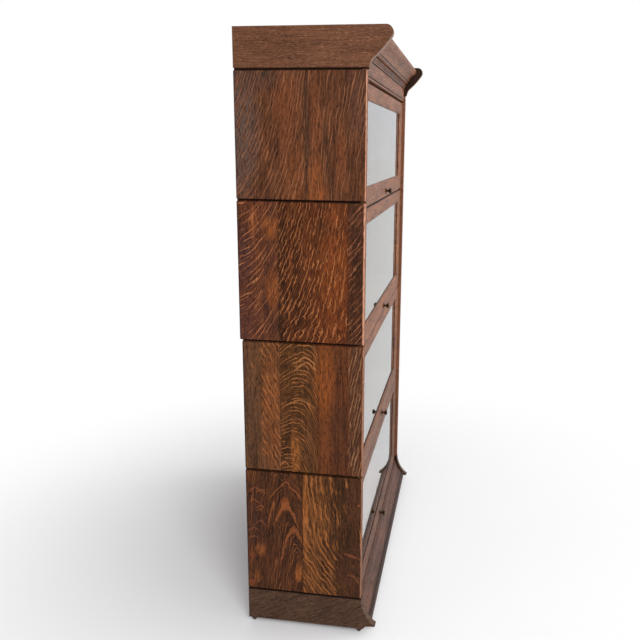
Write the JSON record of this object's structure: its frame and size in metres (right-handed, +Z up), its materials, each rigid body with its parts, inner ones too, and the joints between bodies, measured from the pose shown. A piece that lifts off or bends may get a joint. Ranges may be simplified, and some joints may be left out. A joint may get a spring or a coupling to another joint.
{
  "type": "barrister bookcase",
  "caption": "Tall stacking bookcase with glazed lift-up doors that slide back over the shelves, a moulded crown and a moulded base.",
  "frame": {"origin": "on the floor under the middle of the whole object, crown included", "axes": "+Z up, the front and its doors face -Y, the left side as seen from the front is -X"},
  "size_m": [0.864, 0.3382, 1.4043],
  "materials": {
    "oak_case": "quarter-sawn oak, reddish golden brown, satin shellac",
    "oak_door": "oak door frames, brown with a soft sheen",
    "oak_crown": "oak, greyer brown with fine horizontal grain",
    "oak_base": "oak, dark grey-brown, worn along the edges",
    "inner_wood": "plain unpolished wood, light brown",
    "door_glass": "clear window glass",
    "brass_knob": "aged brass, almost black",
    "steel_rod": "plain steel, dull",
    "iron_glide": "dark iron"
  },
  "bodies": {
    "case": {"base_end_left": "oak_base", "glide_front_left": "iron_glide", "glide_back_left": "iron_glide", "base_end_right": "oak_base", "glide_front_right": "iron_glide", "glide_back_right": "iron_glide", "base_front_moulding": "oak_base", "base_back_rail": "inner_wood", "section_4_side_left": "oak_case", "section_4_side_right": "oak_case", "section_4_top_board": "inner_wood", "section_4_bottom_board": "inner_wood", "section_4_back_panel": "inner_wood", "section_3_side_left": "oak_case", "section_3_side_right": "oak_case", "section_3_top_board": "inner_wood", "section_3_bottom_board": "inner_wood", "section_3_back_panel": "inner_wood", "section_2_side_left": "oak_case", "section_2_side_right": "oak_case", "section_2_top_board": "inner_wood", "section_2_bottom_board": "inner_wood", "section_2_back_panel": "inner_wood", "section_1_side_left": "oak_case", "section_1_side_right": "oak_case", "section_1_top_board": "inner_wood", "section_1_bottom_board": "inner_wood", "section_1_back_panel": "inner_wood", "crown_end_left": "oak_crown", "crown_end_right": "oak_crown", "crown_front_moulding": "oak_crown", "crown_top_board": "oak_crown"},
    "door_1_carriage": {"door_1_pivot_rod": "steel_rod"},
    "door_1": {"door_1_stile_left": "oak_door", "door_1_stile_right": "oak_door", "door_1_top_rail": "oak_door", "door_1_bottom_rail": "oak_door", "door_1_glass": "door_glass", "door_1_knob": "brass_knob"},
    "door_2_carriage": {"door_2_pivot_rod": "steel_rod"},
    "door_2": {"door_2_stile_left": "oak_door", "door_2_stile_right": "oak_door", "door_2_top_rail": "oak_door", "door_2_bottom_rail": "oak_door", "door_2_glass": "door_glass", "door_2_knob": "brass_knob"},
    "door_3_carriage": {"door_3_pivot_rod": "steel_rod"},
    "door_3": {"door_3_stile_left": "oak_door", "door_3_stile_right": "oak_door", "door_3_top_rail": "oak_door", "door_3_bottom_rail": "oak_door", "door_3_glass": "door_glass", "door_3_knob": "brass_knob"},
    "door_4_carriage": {"door_4_pivot_rod": "steel_rod"},
    "door_4": {"door_4_stile_left": "oak_door", "door_4_stile_right": "oak_door", "door_4_top_rail": "oak_door", "door_4_bottom_rail": "oak_door", "door_4_glass": "door_glass", "door_4_knob": "brass_knob"}
  },
  "joints": [
    {"name": "door_1_slide", "type": "slide", "parent": "case", "child": "door_1_carriage", "axis": [0, 1, 0], "range_m": [0, 0.203]},
    {"name": "door_1_swing", "type": "hinge", "parent": "door_1_carriage", "child": "door_1", "pos_m": [0, -0.0989, 1.291], "axis": [-1, 0, 0], "range_deg": [0, 90]},
    {"name": "door_2_slide", "type": "slide", "parent": "case", "child": "door_2_carriage", "axis": [0, 1, 0], "range_m": [0, 0.225]},
    {"name": "door_2_swing", "type": "hinge", "parent": "door_2_carriage", "child": "door_2", "pos_m": [0, -0.0989, 1.018], "axis": [-1, 0, 0], "range_deg": [0, 90]},
    {"name": "door_3_slide", "type": "slide", "parent": "case", "child": "door_3_carriage", "axis": [0, 1, 0], "range_m": [0, 0.225]},
    {"name": "door_3_swing", "type": "hinge", "parent": "door_3_carriage", "child": "door_3", "pos_m": [0, -0.0989, 0.7], "axis": [-1, 0, 0], "range_deg": [0, 90]},
    {"name": "door_4_slide", "type": "slide", "parent": "case", "child": "door_4_carriage", "axis": [0, 1, 0], "range_m": [0, 0.225]},
    {"name": "door_4_swing", "type": "hinge", "parent": "door_4_carriage", "child": "door_4", "pos_m": [0, -0.0989, 0.382], "axis": [-1, 0, 0], "range_deg": [0, 90]}
  ],
  "couplings": [
    {"joint": "door_1_slide", "follows": "door_1_swing", "m_per_rad": 0.12923},
    {"joint": "door_2_slide", "follows": "door_2_swing", "m_per_rad": 0.14324},
    {"joint": "door_3_slide", "follows": "door_3_swing", "m_per_rad": 0.14324},
    {"joint": "door_4_slide", "follows": "door_4_swing", "m_per_rad": 0.14324}
  ]
}
